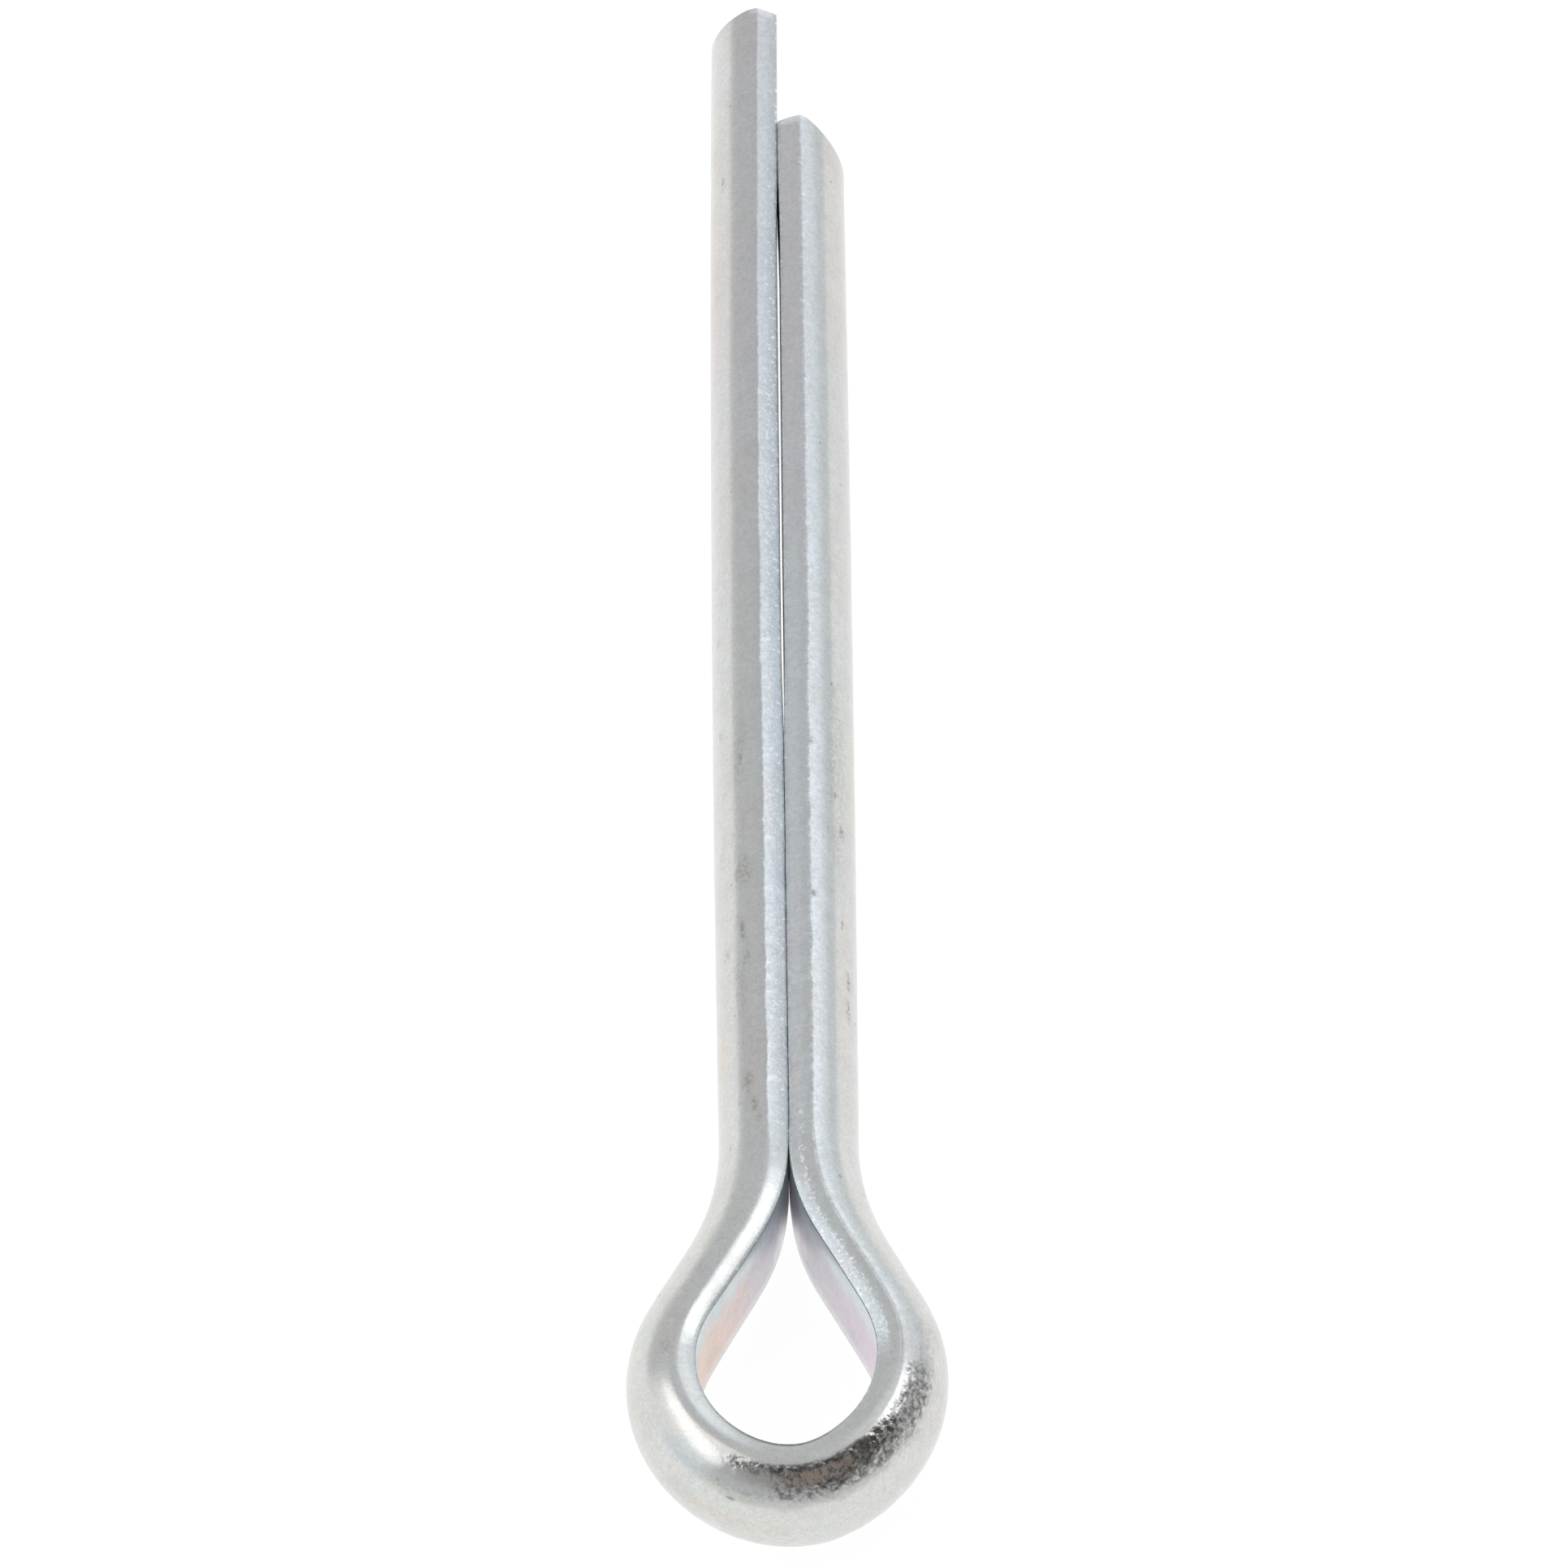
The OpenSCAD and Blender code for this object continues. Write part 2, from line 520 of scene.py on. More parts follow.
MARKS = (
    # pale colours of the film on the outer sides
    *marks(MarkKind.PEACH, Leg.LONG, (5.2, 2.4, 3.4, 1.3, 0.35), (10.4, 2.5, 5.0, 1.8, 0.60)),
    *marks(MarkKind.PINK, Leg.LONG, (13.6, 2.7, 4.4, 2.0, 0.55)),
    *marks(MarkKind.PEACH, Leg.LONG, (42.8, 3.0, 2.6, 1.6, 0.45)),
    *marks(MarkKind.PINK, Leg.LONG, (49.0, 2.4, 3.6, 1.6, 0.30)),
    *marks(MarkKind.STRAW, Leg.LONG, (54.0, 3.0, 5.0, 1.6, 0.50)),
    *marks(MarkKind.PEACH, Leg.SHORT, (1.6, 2.4, 3.0, 2.0, 0.45)),
    *marks(MarkKind.PINK, Leg.SHORT, (5.4, 3.0, 8.5, 2.2, 0.75)),
    *marks(MarkKind.PEACH, Leg.SHORT, (8.6, 2.4, 3.0, 1.2, 0.50), (27.2, 3.1, 5.4, 1.4, 0.75)),
    *marks(MarkKind.STRAW, Leg.SHORT, (26.4, 2.4, 5.0, 1.2, 0.80)),
    *marks(MarkKind.PINK, Leg.SHORT, (32.4, 3.1, 3.4, 1.0, 0.60), (51.6, 3.2, 2.6, 1.4, 0.35)),
    *marks(MarkKind.PEACH, Leg.SHORT, (57.0, 3.4, 2.4, 1.0, 0.35)),
    # bluish tint along the rolled strips and beside the ridges, a painted reflection of the bluish room, and grey
    # film; the grey marks on the long leg's crease near its tip are painted shade
    *marks(MarkKind.PAINTED_BLUE_REFLECTION, Leg.LONG, (22.0, 0.4, 56.0, 1.3, 0.45), ragged=0.2),
    *marks(MarkKind.PAINTED_BLUE_REFLECTION, Leg.SHORT, (24.0, 1.05, 52.0, 0.9, 0.25), (28.0, 0.40, 40.0, 0.90, 0.45), ragged=0.3),
    *marks(MarkKind.GREY_FILM_AND_SHADE, Leg.SHORT, (20.0, 1.55, 64.0, 0.50, 0.70), ragged=0.4),
    # painted shade: the first two marks here darken the long leg's crease near its tip
    *marks(MarkKind.GREY_FILM_AND_SHADE, Leg.LONG, (9.0, 0.10, 24.0, 0.60, 1.0), (6.0, 0.10, 20.0, 0.50, 0.9),
           (16.0, 2.15, 46.0, 0.90, 0.60), ragged=0.3),
    *marks(MarkKind.GREY_FILM_AND_SHADE, Leg.SHORT, (8.0, 2.10, 30.0, 0.90, 0.45), ragged=0.3),
    *marks(MarkKind.GREY_FILM_AND_SHADE, Leg.SHORT, (20.0, 2.60, 56.0, 1.50, 0.60), ragged=0.4),
    *marks(MarkKind.LAVENDER, Leg.SHORT, (6.0, 0.50, 28.0, 1.30, 0.22), ragged=0.3),
    *marks(MarkKind.LAVENDER, Leg.LONG, (8.0, 1.10, 32.0, 1.40, 0.20), ragged=0.3),
    # painted highlights in the eye: tints above 1 that lighten the long side's strip and ridge
    *marks(MarkKind.PAINTED_HIGHLIGHT, Leg.LONG, (57.0, 0.42, 4.0, 0.66, 0.95), (63.1, 0.86, 3.6, 0.40, 0.95), ragged=0.2),
    # smudges and specks of soil, and one rub through to copper
    *marks(MarkKind.SOIL, Leg.LONG, (7.1, 2.15, 0.50, 0.22, 0.55), (26.2, 2.55, 0.60, 0.22, 0.45),
           (30.0, 2.40, 0.50, 0.20, 0.40), (31.4, 1.55, 1.80, 0.40, 0.40, 0.10), (34.9, 2.40, 0.45, 0.22, 0.50),
           (36.0, 1.45, 1.40, 0.60, 0.45), (39.0, 2.25, 0.50, 0.30, 0.45), (40.5, 1.60, 2.60, 0.50, 0.22),
           (44.3, 1.45, 0.80, 0.45, 0.50), (52.3, 1.20, 0.50, 0.30, 0.25), (55.2, 1.10, 0.50, 0.40, 0.30),
           (63.0, 1.90, 6.00, 1.00, 0.35)),
    *marks(MarkKind.SOIL, Leg.LONG, (38.4, 1.50, 1.50, 0.16, 0.75, -0.18), (39.6, 1.30, 1.30, 0.14, 0.70, -0.05),
           (45.2, 1.22, 1.40, 0.12, 0.65, -0.22), ragged=0.9),
    *marks(MarkKind.SOIL, Leg.SHORT, (26.2, 0.90, 0.40, 0.20, 0.55), (29.5, 2.20, 0.80, 0.26, 0.60),
           (32.4, 0.92, 0.35, 0.25, 0.75), (35.3, 2.50, 0.60, 0.22, 0.70), (36.4, 2.45, 0.80, 0.26, 0.55),
           (51.2, 1.55, 1.60, 0.50, 0.55)),
    *marks(MarkKind.SOIL, Leg.SHORT, (27.2, 1.95, 8.60, 1.00, 0.20), ragged=0.9),
    *marks(MarkKind.COPPER, Leg.LONG, (60.75, 1.50, 2.30, 0.52, 0.98, -0.08)),
)


@dataclass
class WornSurface:
    """What forming, rolling and handling leave on the wire: wavy ridges, rough strips, dents, soil and film tints,
    with painted light and shade among the tints.
    """

    bar: HalfRoundBar
    path: FoldedPath
    marks: Sequence[Mark]
    eye_film_light_and_shade: dict[Leg, tuple[tuple[float, Colour], ...]]
    peel_start: float = 58.9
    peel_end: float = 65.2
    long_strip: CornerStrip = CornerStrip(-0.030, -0.015, 0.010, 0.045)
    short_strip: CornerStrip = CornerStrip(0.070, 0.012, 0.030, 0.055)
    ridge_reach: float = 1.3
    press_reach: float = 1.4
    eye_crease_rise: float = 0.065
    eye_ridge_ease: float = 0.19
    eye_swell: float = 0.014
    flank_lean: float = 0.036
    side_change: tuple[float, float] = (0.46, 0.58)
    flank_end: tuple[float, float] = (55.0, 51.0)
    calm_tips: tuple[float, float] = (6.0, 28.0)
    strip_dent: float = 0.003
    peel_dent: float = 0.012
    back_dent: float = 0.0008
    slow_dent: float = 0.006
    tip_round: float = 0.07
    tip_hold: float = 3.0
    torn: float = 0.03
    long_set_back: float = 0.24
    short_set_back: float = 0.92

    @property
    def length(self) -> float:
        """Length of the bar."""
        return self.path.length

    @property
    def neck_at(self) -> float:
        """Where the long leg ends and the eye begins."""
        return self.path.long_side.leg_length

    @property
    def short_neck_at(self) -> float:
        """Where the eye ends and the short leg begins."""
        return self.path.length - self.path.short_side.leg_length

    def in_eye(self, along: np.ndarray) -> np.ndarray:
        """Is 1 in the eye and 0 on the legs, with an easy change at the necks."""
        start = smooth_step(self.neck_at - 0.5, self.neck_at + 2.0, along)
        return start * smooth_step(self.short_neck_at + 0.5, self.short_neck_at - 2.0, along)

    def shape(self, bar: np.ndarray, across: np.ndarray) -> np.ndarray:
        """Moves the points of the straight bar to the worn shape.

        Args:
            bar: Points on the straight bar.
            across: How far each one lies across the wire.

        Returns:
            The moved points.
        """
        die = self.bar
        x, along, height = bar[:, 0], bar[:, 1], np.abs(bar[:, 2])
        up = np.where(bar[:, 2] < 0.0, -1.0, 1.0)
        width, edge = die.corner_width, die.ridge_angle
        side = smooth_step(*self.side_change, along / self.length)
        ridge_shift, crease_shift, swell, waviness = (
            getattr(self.long_strip, name) * (1.0 - side) + getattr(self.short_strip, name) * side
            for name in ("ridge_shift", "crease_shift", "swell", "waviness"))
        eye = self.in_eye(along)
        # the ridge and the crease wander along the wire, less near the tips
        line = np.column_stack([along, up * 7.0, np.zeros_like(along)])
        from_tip = np.minimum(along, self.length - along)
        uneven = waviness * (1.0 - 0.75 * eye) * (0.35 + 0.65 * smooth_step(*self.calm_tips, from_tip))
        ridge = ridge_shift + uneven * (ripple(line, 0.35, 1, 3.7) * 0.4 + ripple(line, 1.4, 3, 11.3))
        crease = crease_shift + 0.5 * uneven * ripple(line, 0.8, 2, 23.1) + self.eye_crease_rise * eye
        on_strip, on_back = (across >= 0.0) & (across < width), across >= width
        share = np.clip(across / width, 0.0, 1.0)
        near_ridge = np.where(on_back, 1.0 - smooth_step(width, width + self.ridge_reach, across), share)
        near_crease = np.where(on_strip, 1.0 - share, np.clip(height / die.crease_height, 0.0, 1.0)) * ~on_back
        angle = np.arctan2(height, x)
        tangent = np.where(on_back, angle, edge)
        x2 = x + near_ridge * ridge * np.sin(tangent)
        height2 = height - near_ridge * ridge * np.cos(tangent) + near_crease * crease
        # the strip swells, the surface is dented and the ridge is eased in the eye
        swell = np.where(on_strip, 4.0 * share * (1.0 - share), 0.0) * (swell + self.eye_swell * eye * (1.0 - side))
        swell += self.dents(bar, across)
        ease = self.eye_ridge_ease * np.maximum(eye, 1e-6)
        half_turn = (math.pi / 2.0 - edge + math.atan2(die.corner_rise, die.ridge_in)) / 2.0
        swell -= math.tan(half_turn) * np.maximum(ease - np.abs(across - width), 0.0) ** 2 / (2.0 * ease)
        x2 += np.where(on_back, np.cos(angle), np.where(on_strip, -die.corner_rise / width, -1.0)) * swell
        height2 += np.where(on_back, np.sin(angle), np.where(on_strip, die.ridge_in / width, 0.0)) * swell
        # the flats lean and press against each other
        lean = self.path.slit_lean * bar[:, 2] * (2.0 * side - 1.0) * (1.0 - eye)
        x2 += (lean - self.path.press(along)) * (1.0 - smooth_step(0.0, self.press_reach, x))
        flank = smooth_step(self.neck_at, self.neck_at + 2.5, along) * smooth_step(*self.flank_end, along)
        x2 -= self.flank_lean * bar[:, 2] * flank * (1.0 - smooth_step(0.0, die.ridge_in, x))
        # the pin lies on its ridges
        highest = die.ridge_height - ridge_shift * math.cos(edge)
        height2 = np.minimum(height2 * np.minimum(1.0, die.ridge_height / highest), die.ridge_height)
        return np.column_stack([x2, along, height2 * up])

    def dents(self, bar: np.ndarray, across: np.ndarray) -> np.ndarray:
        """Gives the small unevenness of the surface.

        Args:
            bar: Points on the straight bar.
            across: How far each one lies across the wire.

        Returns:
            Heights along the surface normal, in millimetres.
        """
        width, along = self.bar.corner_width, bar[:, 1]
        slow = ripple(bar * np.array([1.0, 0.45, 1.0]), 0.8, 2, 5.5) * self.slow_dent
        rough = ripple(bar, 2.7, 2, 31.0)
        long_leg = 1.0 - smooth_step(self.neck_at + 0.5, self.neck_at + 3.0, along)
        strip = smooth_step(0.02, 0.2, across) * (1.0 - smooth_step(width - 0.05, width + 0.15, across))
        bent = smooth_step(self.peel_start - 0.3, self.peel_start + 0.3, along)
        bent *= 1.0 - smooth_step(self.peel_end - 1.5, self.peel_end, along)
        peel = smooth_step(1.0, 1.2, across) * (1.0 - smooth_step(2.3, 3.2, across)) * bent
        back = smooth_step(width, width + 0.3, across)
        amount = self.strip_dent * strip * (0.10 + 0.90 * long_leg) + self.peel_dent * peel + self.back_dent * back
        return slow * back + rough * amount

    def finish_tips(self, bar: np.ndarray, on_cap: np.ndarray) -> np.ndarray:
        """Sets the outer side of each sheared tip back, rounds its edge and roughens its face.

        Args:
            bar: Points on the bar.
            on_cap: Which points lie inside an end face.

        Returns:
            The moved points.
        """
        x, along, z = bar.T
        middle = self.bar.cap_middle
        outer = np.clip((x - middle) / (self.bar.radius - middle), 0.0, 1.0)
        torn = np.abs(self.torn * ripple(bar, 2.3, 3, 71.0) * on_cap)
        for tip, into, most in ((0.0, 1.0, self.long_set_back), (self.length, -1.0, self.short_set_back)):
            depth = (along - tip) * into
            rounding = np.clip(1.0 - depth / self.tip_round, 0.0, 1.0)
            inset = self.tip_round * (1.0 - np.sqrt(1.0 - rounding**2))
            shrink = 1.0 - inset / np.maximum(np.hypot(x - middle, z), 1.2 * self.tip_round)
            x = middle + (x - middle) * shrink
            z = z * shrink
            hold = 1.0 - smooth_step(0.0, self.tip_hold, depth)
            along = along + into * (most * outer**1.15 * hold + torn * (depth < 1.0))
        return np.column_stack([x, along, z])

    def paint(self, bar: np.ndarray, across: np.ndarray) -> tuple[np.ndarray, np.ndarray]:
        """Works out the tint of the passivation film, with the painted light and shade in it, and where soil and
        copper show.

        Args:
            bar: Points on the bar.
            across: How far each one lies across the wire.

        Returns:
            The film's tint with its painted light and shade, the soil in a fourth column, and the copper.
        """
        along, upper = bar[:, 1], bar[:, 2] > 0.0
        from_tip = {Leg.LONG: along, Leg.SHORT: self.length - along}
        tint = np.ones((len(bar), 3))
        slow = ripple(bar * np.array([0.8, 0.16, 0.8]), 1.0, 2, 41.0)
        tint = mixed(tint, FILM_AND_LIGHT_TINTS[MarkKind.PEACH], smooth_step(0.05, 0.5, slow) * 0.20)
        tint = mixed(tint, FILM_AND_LIGHT_TINTS[MarkKind.STRAW], smooth_step(-0.05, -0.5, slow) * 0.16)
        fuzz = ripple(bar, 1.7, 3, 53.0)
        inside = 1.0 - smooth_step(-0.25, -0.05, across)
        # the film inside the eye, with painted light near the necks and painted shade further in
        for leg, bands in self.eye_film_light_and_shade.items():
            s = from_tip[leg]
            stops, shades = zip(*bands)
            shade = np.column_stack([np.interp(s + 0.7 * fuzz, stops, part) for part in zip(*shades)])
            tint = mixed(tint, shade, inside * smooth_step(stops[0] - 3.0, stops[0], s) * (s < self.length / 2.0))
        near_crease = smooth_step(-1.5, -0.3, across) * smooth_step(0.0, -0.04, across) * self.in_eye(along)
        tint = mixed(tint, FILM_AND_LIGHT_TINTS[MarkKind.TEAL], 0.9 * near_crease * upper * (1.0 + 0.6 * fuzz))
        cover = {MarkKind.SOIL: np.zeros(len(bar)), MarkKind.COPPER: np.zeros(len(bar))}
        # some marks are painted light, as highlights and a bluish reflection; some grey ones are painted shade
        for mark in self.marks:
            ds = from_tip[mark.leg] - mark.from_tip
            dv = across - mark.across - mark.lean * ds
            reach = (ds / mark.length * 2.0) ** 2 + (dv / mark.width * 2.0) ** 2
            share = np.exp(-1.2 * (reach * np.exp(mark.ragged * 1.5 * fuzz)) ** 1.5) * mark.strength * upper
            if mark.mark_kind in cover:
                cover[mark.mark_kind] = np.maximum(cover[mark.mark_kind], share)
            else:
                tint = mixed(tint, FILM_AND_LIGHT_TINTS[mark.mark_kind], share)
        return np.column_stack([tint, cover[MarkKind.SOIL]]), cover[MarkKind.COPPER]


# ---- shader helpers


class Signal:
    """A number, vector or colour that varies over a surface: arithmetic on it adds nodes."""

    def __init__(self, bench: "NodeBench", socket: bpy.types.NodeSocket) -> None:
        """Keeps a node's output and the bench that it is on."""
        self.bench, self.socket = bench, socket

    def __add__(self, other: Value) -> "Signal":
        """Adds a number."""
        return self.bench.math("ADD", self, other)

    def __sub__(self, other: Value) -> "Signal":
        """Takes a number away."""
        return self.bench.math("SUBTRACT", self, other)

    def __rsub__(self, other: Value) -> "Signal":
        """Takes this away from a number."""
        return self.bench.math("SUBTRACT", other, self)

    def __mul__(self, other: Value) -> "Signal":
        """Multiplies by a number."""
        return self.bench.math("MULTIPLY", self, other)

    def __or__(self, other: Value) -> "Signal":
        """Takes the greater of the two, so that either mask holds."""
        return self.bench.math("MAXIMUM", self, other)

    def times(self, other: Value) -> "Signal":
        """Multiplies a vector or colour, each part by its own number or all by one."""
        return self.bench.vector("MULTIPLY", self, other)

    def ease(self, low: float, high: float, to_low: float = 0.0, to_high: float = 1.0) -> "Signal":
        """Eases smoothly from one value to another.

        Args:
            low: Where the easing starts, on this signal.
            high: Where it ends, above or below low.
            to_low: The result at low.
            to_high: The result at high.

        Returns:
            The eased signal.
        """
        if low > high:
            low, high, to_low, to_high = high, low, to_high, to_low
        node = self.bench.add("MapRange", {"interpolation_type": "SMOOTHSTEP"})
        return self.bench.feed(node, self, low, high, to_low, to_high)

    def window(self, low: float, high: float, soft: float) -> "Signal":
        """Is 1 between low and high, with edges that are soft over this far to each side."""
        return self.ease(low - soft, low + soft) * self.ease(high + soft, high - soft)

    def pushed(self, noise: "Signal", amount: float) -> "Signal":
        """Moves the value to and fro by a 0 to 1 noise."""
        return (noise - 0.5) * amount + self


class NodeBench:
    """Adds and joins nodes in one node tree."""

    def __init__(self, tree: bpy.types.NodeTree) -> None:
        """Empties the tree and starts in it."""
        self.tree = tree
        tree.nodes.clear()

    def put(self, target: bpy.types.NodeSocket, value: Value) -> None:
        """Feeds an input from a signal, or sets it to a constant.

        Args:
            target: The input.
            value: What it gets.
        """
        if isinstance(value, Signal):
            self.tree.links.new(value.socket, target)
        elif isinstance(value, tuple) and target.type == "RGBA":
            target.default_value = (*value, 1.0)
        else:
            target.default_value = value

    def feed(self, node: bpy.types.Node, *values: Value) -> Signal:
        """Fills a node's first inputs in order.

        Args:
            node: The node.
            *values: What its inputs get.

        Returns:
            The node's first output.
        """
        for socket, value in zip(node.inputs, values):
            self.put(socket, value)
        return self.out(node)

    def add(self, kind: str, settings: dict[str, object] | None = None, **inputs: Value) -> bpy.types.Node:
        """Adds a node.

        Args:
            kind: The node's type, without the ShaderNode at the front.
            settings: The node's own properties.
            **inputs: Inputs by name, with _ for a space.

        Returns:
            The node.
        """
        node = self.tree.nodes.new("ShaderNode" + kind)
        for name, value in (settings or {}).items():
            setattr(node, name, value)
        for name, value in inputs.items():
            self.put(node.inputs[name.replace("_", " ")], value)
        return node

    def out(self, node: bpy.types.Node, output: str | int = 0) -> Signal:
        """Takes one of a node's outputs."""
        return Signal(self, node.outputs[output])

    def math(self, operation: str, *values: Value) -> Signal:
        """Adds a Math node on one or two numbers."""
        return self.feed(self.add("Math", {"operation": operation}), *values)

    def vector(self, operation: str, *values: Value) -> Signal:
        """Adds a Vector Math node on its values."""
        return self.feed(self.add("VectorMath", {"operation": operation}), *values)

    def attribute(self, name: str, output: str) -> Signal:
        """Reads one of the mesh's attributes."""
        return self.out(self.add("Attribute", {"attribute_type": "GEOMETRY", "attribute_name": name}), output)

    def blend(self, share: Value, first: Value, second: Value, mode: str = "MIX") -> Signal:
        """Mixes two colours.

        Args:
            share: How much of the second colour there is, from 0 to 1.
            first: The first colour.
            second: The second colour.
            mode: How the second goes over the first.

        Returns:
            The mixed colour.
        """
        node = self.add("Mix", {"data_type": "RGBA", "blend_type": mode})
        for index, value in ((0, share), (6, first), (7, second)):
            self.put(node.inputs[index], value)
        return self.out(node, 2)

    def noise(self, place: Signal, scale: float, detail: float = 1.0, rough: float = 0.5, out: int = 0) -> Signal:
        """Adds a noise texture: output 0 is its 0 to 1 value and output 1 its colour."""
        return self.out(self.add("TexNoise", Vector=place, Scale=scale, Detail=detail, Roughness=rough), out)

    def finish(self, kind: str, share: Signal, first: bpy.types.Node, second: bpy.types.Node) -> None:
        """Mixes two shaders and makes the result the tree's output."""
        mix = self.add("MixShader")
        self.put(self.add(kind).inputs["Surface"], self.feed(mix, share, self.out(first), self.out(second)))


# ---- finish


class PlatingMap:
    """Where each kind of surface lies on the wire, as masks from 0 to 1, and the grain that breaks them up."""

    def __init__(self, bench: NodeBench, surface: WornSurface, strip_width: float) -> None:
        """Reads the wire's attributes and lays the masks out.

        Args:
            bench: Where the nodes go.
            surface: The worn surface, for the places along the bar.
            strip_width: Width of the corner strip, in millimetres.
        """
        self.bench, self.surface, self.strip_width = bench, surface, strip_width
        self.bar = bench.attribute(BAR_ATTRIBUTE, "Vector")
        self.across = bench.attribute(ACROSS_ATTRIBUTE, "Fac")
        self.along = bench.out(bench.add("SeparateXYZ", Vector=self.bar), 1)
        self.place = bench.out(bench.add("TexCoord"), "Object").times((1.0 / MM,) * 3)
        self.mottle = bench.noise(self.place, 1.1, detail=4.0, rough=0.62)
        self.streaks = bench.noise(self.bar.times((7.0, 0.55, 7.0)), 1.0, detail=3.0, rough=0.6)
        self.grain = bench.noise(self.place, 5.0, detail=2.0, rough=0.6)
        self.ragged = self.across.pushed(bench.noise(self.place, 3.6, detail=3.0, rough=0.7), 0.26)
        self.inside = self.across.ease(-0.02, -0.2)
        self.lay_strips()
        self.lay_bottom()
        self.lay_notch()
        self.frosted = self.frost()
        self.burnished_and_highlit = self.burnish_and_highlight()
        self.painted_glint = self.sprinkle()

    def lay_strips(self) -> None:
        """Lays out the rolled strips, the ridges that bound them and the band beside the short leg's ridge."""
        along, ragged, width = self.along, self.ragged, self.strip_width
        neck, short_neck = self.surface.neck_at, self.surface.short_neck_at
        self.on_long = along.ease(neck + 2.0, neck - 1.0)
        self.on_short = along.ease(short_neck - 9.6, short_neck - 7.8)
        self.on_short_leg = along.ease(short_neck - 3.0, short_neck)
        self.strip = ragged.window(0.05, width, 0.04) * self.on_long
        self.ridge = ragged.window(width - 0.02, width + 0.15, 0.03) * self.on_short
        self.edge = self.across.window(-0.03, 0.09, 0.03)
        self.band = ragged.ease(1.55, width + 0.10) * self.on_short * ragged.ease(width + 0.02, width + 0.07)
        outer = self.across.window(-0.02, 0.40, 0.05) * along.window(short_neck - 9.4, short_neck - 2.7, 0.6)
        inner = self.across.window(-0.02, 0.26, 0.06) * along.window(neck, neck + 8.5, 0.6)
        self.crease = outer | inner * 0.25
        self.sparkle = self.strip | self.ridge * (self.on_short_leg * 0.45 + 0.35) | self.crease * 0.25

    def lay_bottom(self) -> None:
        """Lays out the skin that bending broke at the bottom of the eye, with a smoother patch in it."""
        along, across = self.along, self.across
        start, end = self.surface.peel_start, self.surface.peel_end
        patch = across.window(1.45, 2.15, 0.15) * along.window(start - 0.4, start + 1.1, 0.25)
        peel = along.window(start, end - 0.4, 0.35) * across.window(1.08, 2.20, 0.12)
        self.peel = peel * (patch * -0.9 + 1.0)

    def lay_notch(self) -> None:
        """Lays out the narrow notch above the eye, and the painted shade: a dark line where the eye's flat meets
        the strip.
        """
        along = self.along
        neck, short_neck = self.surface.neck_at, self.surface.short_neck_at
        necks = along.window(neck - 2.0, neck + 2.0, 0.8) | along.window(short_neck - 2.0, short_neck + 2.0, 0.8)
        self.notch = necks * self.inside
        # painted shade: a dark teal line along the eye's crease, stronger towards the bottom of the eye
        line = self.across.pushed(self.bench.noise(self.place, 5.5, detail=2.0, rough=0.7), 0.05)
        in_eye = along.ease(neck + 2.0, neck + 4.0) * along.ease(short_neck - 2.0, short_neck - 4.0)
        self.line = line.window(-0.050, 0.010, 0.015) * in_eye * along.ease(58.0, 66.0, 0.40, 0.80)

    def frost(self) -> Signal:
        """Lays out the fine crystals that make the strips and ridges pale.

        Returns:
            The mask of the frosted zinc.
        """
        short = self.on_short_leg * 0.65 + 0.35
        bottom = self.along.window(self.surface.neck_at + 2.0, self.surface.short_neck_at - 10.0, 1.0)
        ridge = self.ridge * bottom.ease(0.0, 1.0, 1.0, 0.1) * short
        frosted = self.strip * self.along.ease(2.0, 26.0, 0.25, 0.85) * self.ragged.ease(0.30, 0.70, 1.0, 0.35)
        for mask, share in ((ridge, 0.45), (self.edge, 0.5), (self.band, 0.22), (self.crease, 0.9)):
            frosted = frosted | mask * share
        return frosted * self.grain.ease(0.32, 0.58, 0.55, 1.0) * self.peel.ease(0.0, 0.3, 1.0, 0.0)

    def burnish_and_highlight(self) -> Signal:
        """Lays out where rolling and rubbing left the zinc bright, with painted highlights among it: the band
        beside the short leg's ridge and the spots at the sheared ends.

        Returns:
            The mask of the rubbed bright zinc and of the painted highlights.
        """
        along, ragged, tip = self.along, self.ragged, self.surface.length
        rolled = self.strip * ragged.ease(0.15, 0.62) * along.ease(5.0, 38.0, 0.22, 0.95)
        faded = ragged.ease(0.95, 1.10) * (1.0 - self.on_short_leg)
        # painted highlight along the band beside the short leg's ridge
        bright = self.band * along.ease(tip - 9.0, tip - 28.0, 0.32, 0.9) * (faded * -0.65 + 1.0)
        pressed = ragged.window(0.08, 0.52, 0.15) * along.ease(tip - 12.0, tip - 26.0, 0.0, 0.30)
        # painted highlights on the sheared ends
        ends = along.ease(0.40, 0.12) | along.ease(tip - 0.40, tip - 0.12)
        sheared = ends * self.across.window(0.10, 1.0, 0.10)
        burnished_and_highlit = rolled | bright | pressed * self.on_short_leg | sheared
        return burnished_and_highlit * self.grain.ease(0.30, 0.55, 0.65, 1.0)

    def sprinkle(self) -> Signal:
        """Lays out the painted glints: white specks that stand for sparkles of reflected light, in the frost and
        along the short leg's strip.

        Returns:
            The mask of the painted glints.
        """
        short_neck = self.surface.short_neck_at
        painted_glint = self.bench.noise(self.place, 7.5).ease(0.60, 0.68, 0.0, 0.9) * self.frosted.ease(0.1, 0.5)
        rim = self.ragged.window(0.34, 0.50, 0.04) * self.along.window(short_neck - 9.4, short_neck + 1.0, 0.6)
        return painted_glint | rim * self.bench.noise(self.place, 8.5).ease(0.54, 0.62)


